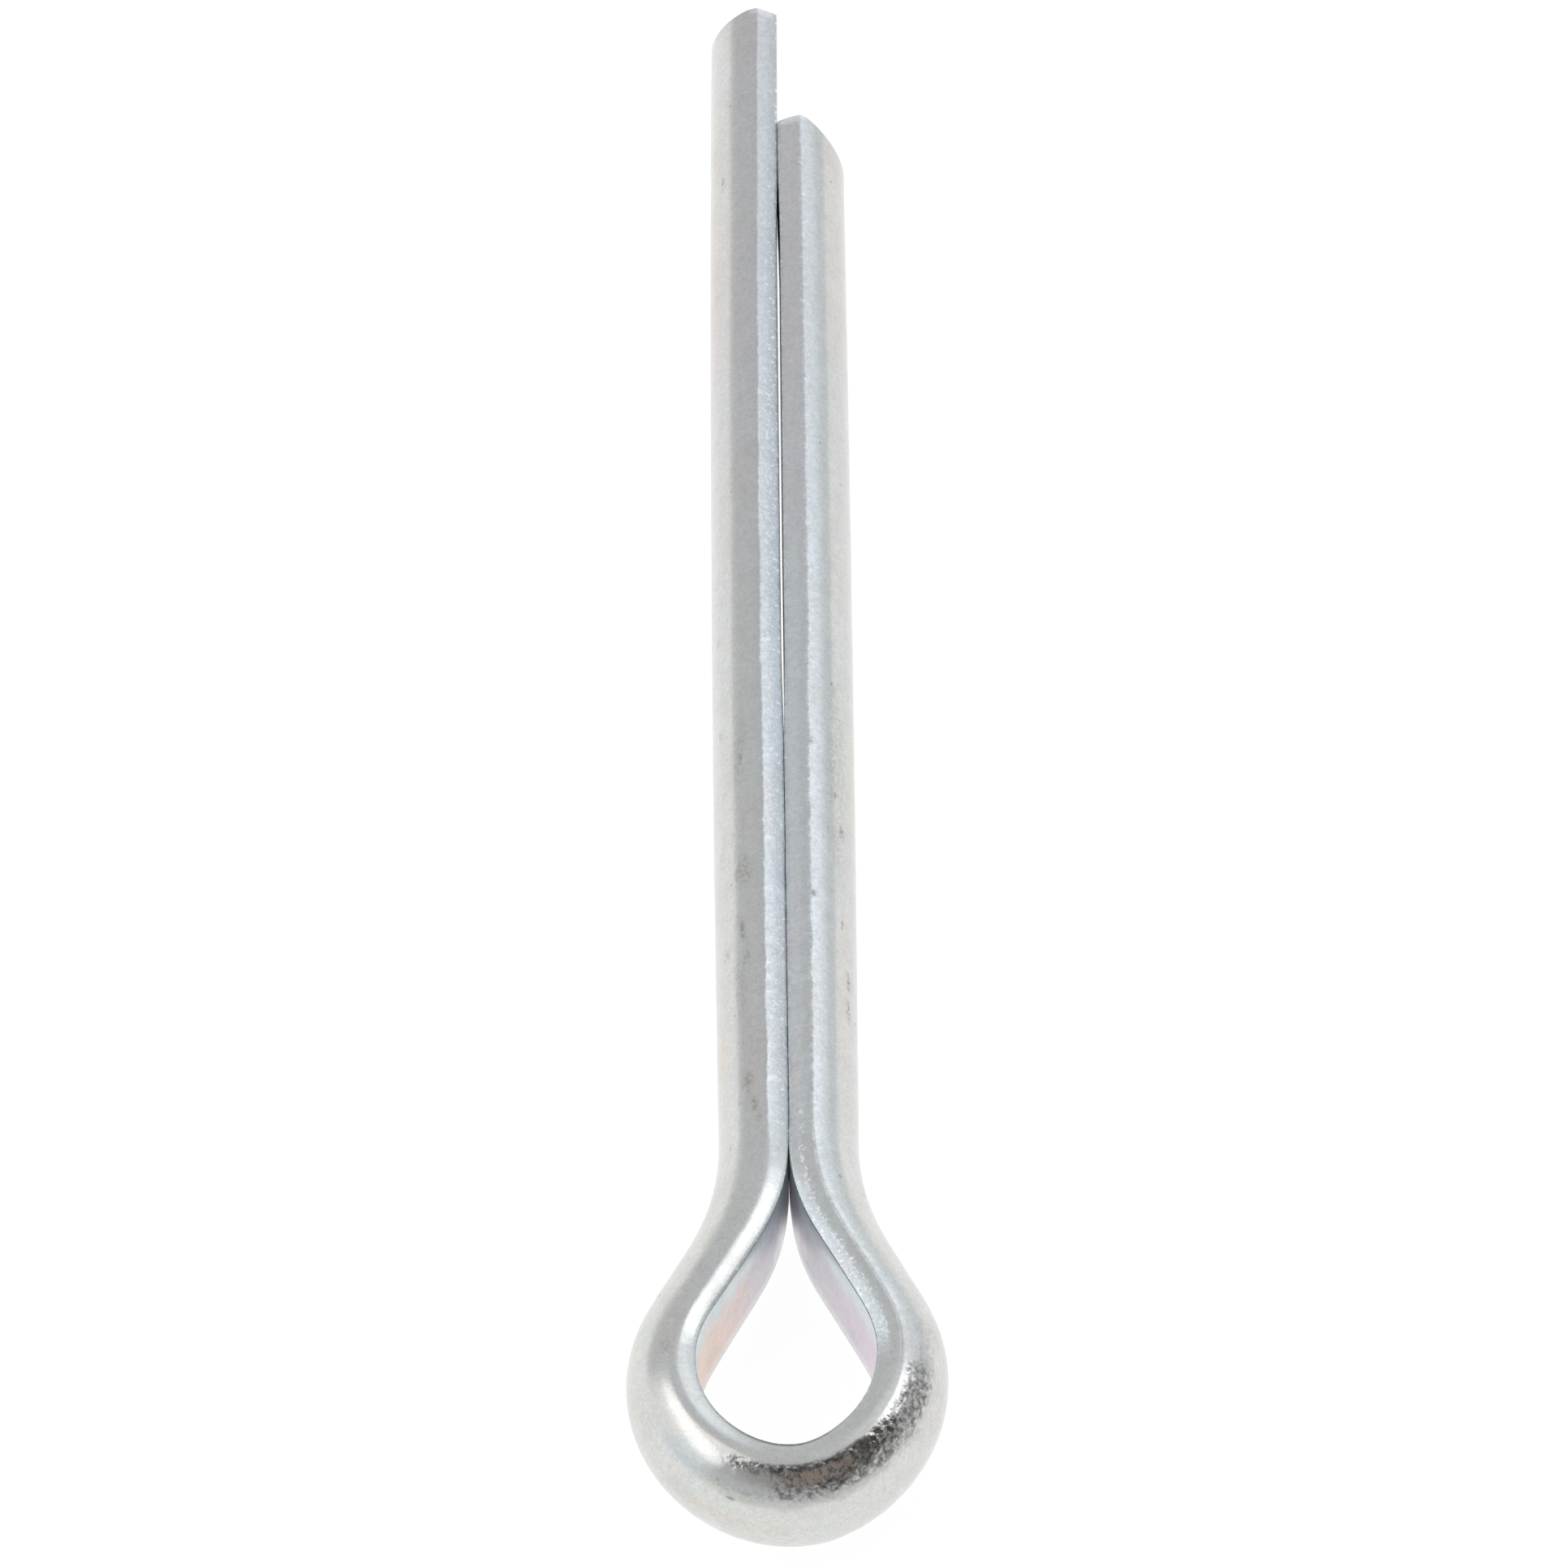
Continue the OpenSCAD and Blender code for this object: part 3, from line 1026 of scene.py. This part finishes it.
@dataclass(frozen=True)
class ZincPlating:
    """Bright zinc plating on drawn steel wire, with a clear passivation film, soil and a bare copper flash, and
    painted light and shade: glints, highlights, lighter flats, and shade in the pits and along the eye's crease.
    """

    name: str = "zinc_plated_wire"
    metal: Colour = (0.69, 0.698, 0.682)
    # lighter zinc on the flats: painted light for the inside of the eye
    lit_flat_metal: Colour = (0.83, 0.83, 0.83)
    frost: Colour = (0.77, 0.835, 0.875)
    burnish_and_highlight: Colour = (0.92, 0.935, 0.935)
    # white of the painted glints
    painted_glint: Colour = (0.96, 0.975, 1.0)
    dullness: Colour = (0.30, 0.30, 0.28)
    # colour of the painted shade in the pits
    pit_shade: Colour = (0.16, 0.16, 0.17)
    # colour of the painted shade along the eye's crease
    crease_shade: Colour = (0.12, 0.26, 0.30)
    soil: Colour = (0.16, 0.13, 0.09)
    copper: Colour = (0.40, 0.30, 0.235)
    strip_width: float = 0.775
    die_line: float = 1.74

    def make(self, surface: WornSurface) -> bpy.types.Material:
        """Builds the material.

        Args:
            surface: The worn surface, for where the rough places lie along the bar.

        Returns:
            The material.
        """
        material = bpy.data.materials.new(self.name)
        material.use_nodes = True
        bench = NodeBench(material.node_tree)
        plating = PlatingMap(bench, surface, self.strip_width)
        dirty, bare = self.soiling(plating)
        covered = dirty | bare
        metallic = covered.ease(0.0, 1.0, 1.0, 0.25) * plating.inside.ease(0.0, 1.0, 1.0, 0.86)
        metallic = metallic * (plating.notch * -0.5 + 1.0) * (plating.frosted * -0.45 + 1.0)
        roughness = plating.mottle * 0.10 + 0.16
        for mask, more in ((plating.frosted, 0.22), (plating.peel, -0.06), (plating.inside, 0.10),
                           (plating.notch, 0.25), (covered, 0.30)):
            roughness = mask * more + roughness
        bump = bench.add("Bump", Strength=1.0, Distance=1e-6, Height=self.relief(plating))
        shader = bench.add("BsdfPrincipled", Base_Color=self.colour(plating, dirty, bare), Metallic=metallic,
                           Roughness=roughness, Normal=bench.out(bump))
        bench.put(bench.add("OutputMaterial").inputs["Surface"], bench.out(shader))
        return material

    @staticmethod
    def soiling(plating: PlatingMap) -> tuple[Signal, Signal]:
        """Works out what covers the zinc.

        Args:
            plating: The plating's masks.

        Returns:
            Masks of the soil and of the bare copper.
        """
        bench, bar = plating.bench, plating.bar
        grit = bench.noise(bar, 7.0, detail=3.0, rough=0.75).ease(0.42, 0.58, 0.15, 1.0)
        specks = bench.noise(bar.times((1.0, 0.6, 1.0)), 4.2, rough=0.4).ease(0.75, 0.80, 0.0, 0.40)
        dirty = bench.attribute(STAIN_AND_LIGHT_ATTRIBUTE, "Alpha") * grit | specks * plating.across.ease(0.9, 1.2)
        rubbed = bench.noise(plating.place, 4.0, detail=4.0, rough=0.75).ease(0.36, 0.54, 0.1, 0.95)
        return dirty, bench.attribute(COPPER_ATTRIBUTE, "Fac") * rubbed

    def colour(self, plating: PlatingMap, dirty: Signal, bare: Signal) -> Signal:
        """Works out the surface's colour.

        Args:
            plating: The plating's masks.
            dirty: Where soil lies.
            bare: Where copper shows.

        Returns:
            The colour.
        """
        bench, place, frosted = plating.bench, plating.place, plating.frosted
        # the flats get the lighter zinc, painted light inside the eye
        colour = bench.blend(plating.inside, self.metal, self.lit_flat_metal)
        colour = bench.blend(frosted, colour, self.frost)
        colour = bench.blend(plating.burnished_and_highlit, colour, self.burnish_and_highlight)
        colour = bench.blend(1.0, colour, bench.attribute(STAIN_AND_LIGHT_ATTRIBUTE, "Color"), "MULTIPLY")
        die_line = plating.across.pushed(plating.mottle, 0.30)
        die_line = die_line.ease(self.die_line, self.die_line + 0.06, 0.955, 1.02)
        colour = colour.times(die_line | plating.on_long.ease(1.0, 0.0))
        dull = plating.mottle.ease(0.35, 0.75, 0.0, 0.10) + plating.streaks.ease(0.4, 0.8, 0.0, 0.05)
        colour = bench.blend(dull, colour, self.dullness)
        shimmer = bench.noise(place, 4.5, detail=2.0, rough=0.6, out=1)
        colour = colour.times(bench.vector("MULTIPLY_ADD", shimmer, (0.10, 0.06, 0.10), (0.95, 0.97, 0.95)))
        dust = (bench.noise(place, 12.0) - 0.5) * (frosted * 0.32 + 0.28)
        value = (plating.grain - 0.5) * (frosted * 0.20 + 0.22) + dust
        colour = colour.times(value + 1.0)
        # painted shade in the pits of the broken skin at the bottom of the eye
        shaded_pits = plating.peel * bench.noise(place, 5.0, detail=3.0, rough=0.6).ease(0.44, 0.60, 0.0, 0.75)
        # painted glints, painted crease shade and the painted shade in the pits go on here, then soil and copper
        for mask, paint in ((plating.painted_glint, self.painted_glint), (plating.line, self.crease_shade), (shaded_pits, self.pit_shade),
                            (dirty, self.soil), (bare, self.copper)):
            colour = bench.blend(mask, colour, paint)
        return colour

    @staticmethod
    def relief(plating: PlatingMap) -> Signal:
        """Works out the fine relief, in steps of a thousandth of a millimetre.

        Args:
            plating: The plating's masks.

        Returns:
            The height.
        """
        bench, place = plating.bench, plating.place
        relief = bench.noise(place, 7.0, detail=3.0, rough=0.6) * 1.3 + plating.streaks * 1.2
        pits = bench.noise(place, 4.8, detail=3.0, rough=0.55)
        cells = bench.add("TexVoronoi", {"feature": "SMOOTH_F1"}, Vector=place, Scale=5.8, Smoothness=0.30)
        scallops = bench.noise(plating.bar.times((1.0, 0.75, 1.0)), 4.6, detail=3.0, rough=0.6)
        for shape, mask, depth in ((pits, plating.peel, 18.0), (bench.out(cells, "Distance"), plating.peel, -12.0),
                                   (scallops, plating.sparkle, 12.0)):
            relief = shape * mask * depth + relief
        return relief


# ---- the pin


@dataclass
class CotterPin:
    """The folded pin, built as a straight bar and bent to its path."""

    bar: HalfRoundBar
    path: FoldedPath
    surface: WornSurface
    finish: ZincPlating
    axis_height: float = 2.112
    leg_step: float = 0.11
    eye_step: float = 0.075
    cap_zone: float = 5.0
    tip_runs: tuple[tuple[float, float], ...] = ((0.18, 0.022), (0.6, 0.08))
    weight: int = 50

    def runs(self) -> list[tuple[float, float]]:
        """Splits the bar into runs, with fine steps at the tips and in the eye.

        Returns:
            Length of each run and the step that it is drawn in.
        """
        fine = list(self.tip_runs)
        tip = sum(length for length, _ in fine)
        long_leg = self.path.long_side.leg_length - tip
        short_leg = self.path.short_side.leg_length - tip
        eye = self.path.length - long_leg - short_leg - 2.0 * tip
        return fine + [(long_leg, self.leg_step), (eye, self.eye_step), (short_leg, self.leg_step)] + fine[::-1]

    def build(self) -> bpy.types.Object:
        """Makes the pin's mesh and object.

        Returns:
            The pin, at the origin with its place in its mesh.
        """
        bm = bmesh.new()
        self.bar.section(bm)
        self.bar.draw(bm, self.runs())
        bmesh.ops.remove_doubles(bm, verts=bm.verts[:], dist=1e-5)
        mesh = bpy.data.meshes.new("folded_wire")
        bm.to_mesh(mesh)
        straight = self.points(mesh)
        across = self.bar.across(straight)
        self.keep(mesh, ACROSS_ATTRIBUTE, "FLOAT", "value", across)
        self.move(mesh, self.surface.shape(straight, across))
        bm.clear()
        bm.from_mesh(mesh)
        layer = bm.verts.layers.float[ACROSS_ATTRIBUTE]
        for vert in self.bar.cap(bm):
            vert[layer] = self.cap_zone
        bm.to_mesh(mesh)
        across = np.zeros(len(mesh.vertices))
        mesh.attributes[ACROSS_ATTRIBUTE].data.foreach_get("value", across)
        worn = self.surface.finish_tips(self.points(mesh), across == self.cap_zone)
        stains_and_light, copper = self.surface.paint(worn, across)
        self.keep(mesh, BAR_ATTRIBUTE, "FLOAT_VECTOR", "vector", worn)
        self.keep(mesh, STAIN_AND_LIGHT_ATTRIBUTE, "FLOAT_COLOR", "color", stains_and_light)
        self.keep(mesh, COPPER_ATTRIBUTE, "FLOAT", "value", copper)
        self.move(mesh, self.path.place(worn, self.axis_height) * MM)
        bm.clear()
        bm.from_mesh(mesh)
        bmesh.ops.recalc_face_normals(bm, faces=bm.faces[:])
        closed = all(edge.is_manifold for edge in bm.edges)
        log.info("folded_wire: closed %s, %.1f mm3", closed, bm.calc_volume() / MM**3)
        bm.to_mesh(mesh)
        bm.free()
        mesh.shade_smooth()
        piece = set_out("folded_wire", mesh)
        flatness = piece.modifiers.new("true_flats", "WEIGHTED_NORMAL")
        flatness.mode, flatness.weight = "FACE_AREA", self.weight
        log.info("%s: %d vertices, %d faces", piece.name, len(mesh.vertices), len(mesh.polygons))
        return piece

    @staticmethod
    def points(mesh: bpy.types.Mesh) -> np.ndarray:
        """Reads a mesh's points.

        Args:
            mesh: The mesh.

        Returns:
            The points, one per row.
        """
        flat = np.zeros(len(mesh.vertices) * 3)
        mesh.vertices.foreach_get("co", flat)
        return flat.reshape(-1, 3)

    @staticmethod
    def move(mesh: bpy.types.Mesh, points: np.ndarray) -> None:
        """Moves a mesh's points."""
        mesh.vertices.foreach_set("co", points.astype(np.float32).ravel())
        mesh.update()

    @staticmethod
    def keep(mesh: bpy.types.Mesh, name: str, kind: str, slot: str, values: np.ndarray) -> None:
        """Stores one value per point in a mesh attribute.

        Args:
            mesh: The mesh.
            name: The attribute's name.
            kind: The attribute's data type.
            slot: The name of the value in that type.
            values: One row per point.
        """
        attribute = mesh.attributes.new(name, kind, "POINT")
        attribute.data.foreach_set(slot, values.astype(np.float32).ravel())

    def dress(self, piece: bpy.types.Object) -> None:
        """Gives the pin its finish and its place in the frame.

        Args:
            piece: The pin.
        """
        piece.data.materials.append(self.finish.make(self.surface))
        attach(piece, "root")
        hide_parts("cotter_pin")


# ---- studio


@dataclass(frozen=True)
class SoftLamp:
    """A flat soft lamp that faces the pin: where it stands, in degrees and metres, and how it shines."""

    name: str
    azimuth: float
    elevation: float
    width: float
    height: float
    lean: float
    radiance: float
    distance: float = 2.5

    def build(self) -> None:
        """Makes the lamp."""
        data = bpy.data.lights.new(self.name, "AREA")
        data.shape = "RECTANGLE"
        data.size, data.size_y = self.width, self.height
        data.energy = self.radiance * math.pi * self.width * self.height
        lamp = set_out(self.name, data)
        way = direction(self.azimuth, self.elevation)
        turn = way.to_track_quat("Z", "Y").to_matrix() @ Matrix.Rotation(math.radians(self.lean), 3, "Z")
        lamp.matrix_world = Matrix.Translation(way * self.distance) @ turn.to_4x4()
        log.info("lamp %s", self.name)


LAMPS = (
    SoftLamp("left_screen", azimuth=-91.0, elevation=43.0, width=2.3, height=0.9, lean=0.0, radiance=0.5),
    SoftLamp("right_strip", azimuth=69.0, elevation=45.5, width=0.95, height=1.05, lean=-27.0, radiance=1.05),
)


@dataclass
class Studio:
    """White table, soft lamps and the grey room around them."""

    floor_half: float = 4.0
    show_through: float = 0.9
    white: float = 1.07
    grey: Colour = (0.645, 0.655, 0.675)
    skirting: Colour = (0.84, 0.85, 0.84)
    dark: Colour = (0.098, 0.094, 0.088)
    dark_foot: Colour = (0.78, 0.78, 0.76)
    wall: tuple[Colour, Colour] = ((0.872, 0.912, 0.958), (0.79, 0.82, 0.845))
    screen: tuple[Colour, Colour, Colour] = ((0.96, 0.965, 0.98), (0.80, 0.865, 0.93), (1.13, 1.13, 1.13))
    strip: Colour = (1.12, 1.12, 1.12)

    def floor(self) -> None:
        """Makes the white table top."""
        bm = bmesh.new()
        bmesh.ops.create_grid(bm, x_segments=1, y_segments=1, size=self.floor_half)
        mesh = bpy.data.meshes.new("table_top")
        bm.to_mesh(mesh)
        bm.free()
        top = set_out("table_top", mesh)
        material = bpy.data.materials.new("white_table")
        material.use_nodes = True
        bench = NodeBench(material.node_tree)
        rays = bench.add("LightPath")
        kinds = ("Camera", "Glossy", "Transmission")
        seen, glossy, through = (bench.out(rays, f"Is {kind} Ray") for kind in kinds)
        paper = bench.add("BsdfDiffuse", Color=(0.8, 0.8, 0.8))
        glow = bench.add("Emission", Color=(1.0, 1.0, 1.0), Strength=self.white)
        bench.finish("OutputMaterial", (seen | glossy | through) * self.show_through, paper, glow)
        mesh.materials.append(material)
        top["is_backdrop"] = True

    @staticmethod
    def pane(way: Signal, *corners: tuple[float, float]) -> Signal:
        """Is 1 in the directions of a pane, with soft edges.

        Args:
            way: The direction looked in.
            *corners: Azimuth and elevation of each corner, in order round the pane.

        Returns:
            The mask.
        """
        inside = None
        for first, second in zip(corners, corners[1:] + corners[:1]):
            edge = direction(*second).cross(direction(*first)).normalized()
            dot = way.bench.add("VectorMath", {"operation": "DOT_PRODUCT"})
            way.bench.feed(dot, way, tuple(edge))
            side = way.bench.out(dot, "Value").ease(-0.03, 0.04)
            inside = side if inside is None else inside * side
        return inside

    def room(self) -> None:
        """Lights the world: a soft grey room, darker towards the front and white where the camera sees it."""
        world = bpy.data.worlds.new("room")
        bpy.context.scene.world = world
        world.use_nodes = True
        bench = NodeBench(world.node_tree)
        way = bench.out(bench.add("TexCoord"), "Generated")
        xyz = bench.add("SeparateXYZ", Vector=way)
        x, y, z = (bench.out(xyz, axis) for axis in range(3))
        degrees = 180.0 / math.pi
        azimuth = bench.math("ARCTAN2", x, y) * degrees
        front = bench.math("ARCTAN2", x, y * -1.0) * degrees
        height = bench.math("ARCSINE", z) * degrees
        colour = bench.blend(height.ease(11.0, 0.0), self.grey, self.skirting)
        # the dark side of the room, in front of the table and to its right
        dark = front.window(-60.0, -10.0, 6.0) * height.ease(14.0, 72.0, 0.0, 0.78)
        dark = dark | front.window(-12.0, 22.0, 6.0) * height.ease(15.0, 54.0, 0.0, 0.95)
        dark = dark | front.window(20.0, 97.0, 6.0) * height.ease(9.0, 42.0)
        overhead = height.ease(72.0, 62.0) | y.ease(-0.12, -0.22)
        colour = bench.blend(dark * overhead, colour, self.dark)
        colour = bench.blend(front.window(-62.0, 95.0, 4.0) * height.ease(24.0, 0.0), colour, self.dark_foot)
        # light wall on the right, behind the pin
        wall = azimuth.window(12.0, 66.0, 7.0) * height.window(-10.0, 50.0, 5.0)
        colour = bench.blend(wall, colour, bench.blend(height.ease(20.0, 8.0), *self.wall))
        # left screen, brighter and whiter towards its top
        near, far, top = self.screen
        screen = self.pane(way, (-119.0, -6.0), (-61.0, -6.0), (-70.0, 70.0), (-112.0, 75.0))
        low = bench.blend(azimuth.ease(-80.0, -105.0), near, far)
        colour = bench.blend(screen, colour, bench.blend(height.ease(8.0, 46.0), low, top))
        # right strip lamp
        strip = self.pane(way, (62.0, 26.0), (47.0, 27.0), (18.0, 53.0), (6.0, 66.0), (70.0, 63.0), (85.0, 45.0))
        colour = bench.blend(strip, colour, self.strip)
        room = bench.add("Background", Color=colour, Strength=1.0)
        white = bench.add("Background", Color=(1.0, 1.0, 1.0), Strength=1.0)
        bench.finish("OutputWorld", bench.out(bench.add("LightPath"), "Is Camera Ray"), room, white)

    def build(self) -> None:
        """Sets up the table, the room, the lamps and the picture's colour handling."""
        self.floor()
        self.room()
        for lamp in LAMPS:
            lamp.build()
        bpy.context.scene.view_settings.view_transform = "Standard"


@dataclass(frozen=True)
class Viewpoint:
    """The camera: where it aims, how far off it stands and how it is turned."""

    target: tuple[float, float, float] = (0.000006, -0.000945, 0.002112)
    back: tuple[float, float, float] = (0.01271833, -0.59833938, 0.80114183)
    distance: float = 0.445
    lens: float = 314.4
    roll: float = -2.0

    def build(self) -> None:
        """Makes the camera and gives it to the scene."""
        data = bpy.data.cameras.new("camera")
        data.lens = self.lens
        data.sensor_width = 36.0
        data.clip_start, data.clip_end = 0.01, 50.0
        camera = set_out("camera", data)
        back = Vector(self.back).normalized()
        turn = back.to_track_quat("Z", "Y").to_matrix() @ Matrix.Rotation(math.radians(self.roll), 3, "Z")
        camera.matrix_world = Matrix.Translation(Vector(self.target) + back * self.distance) @ turn.to_4x4()
        bpy.context.scene.camera = camera


def main() -> None:
    """Builds the pin and the studio, in order."""
    long_side = SideOfPin(leg=Leg.LONG, leg_length=45.69, neck_radius=11.199, neck_turn=28.595, flank_length=2.425,
                          shoulder_radius=3.468, shoulder_turn=93.51, bottom_radius=2.245,
                          tip_offset=0.066, neck_offset=-0.005, bow=0.121)
    short_side = SideOfPin(leg=Leg.SHORT, leg_length=41.0, neck_radius=11.135, neck_turn=26.931, flank_length=2.49,
                           shoulder_radius=3.799, shoulder_turn=86.853, bottom_radius=1.701,
                           tip_offset=-0.100, neck_offset=0.020, bow=0.052)
    path = FoldedPath(long_side, short_side, neck_y=-15.4855, bottom_y=-27.9865)
    bar = HalfRoundBar()
    surface = WornSurface(bar, path, MARKS, EYE_FILM_LIGHT_AND_SHADE)
    pin = CotterPin(bar, path, surface, ZincPlating())
    piece = pin.build()
    pin.dress(piece)
    log.info("wire length along the flat: %.2f mm, bottom at %.2f mm", path.length, path.bottom_at)
    Studio().build()
    Viewpoint().build()
    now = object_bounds()
    for name, (low, high) in (("cad", CAD_BOX), ("visual", now)):
        log.info("%s %s %s", name, [round(v * 1000, 3) for v in low], [round(v * 1000, 3) for v in high])


if __name__ == "__main__":
    main()
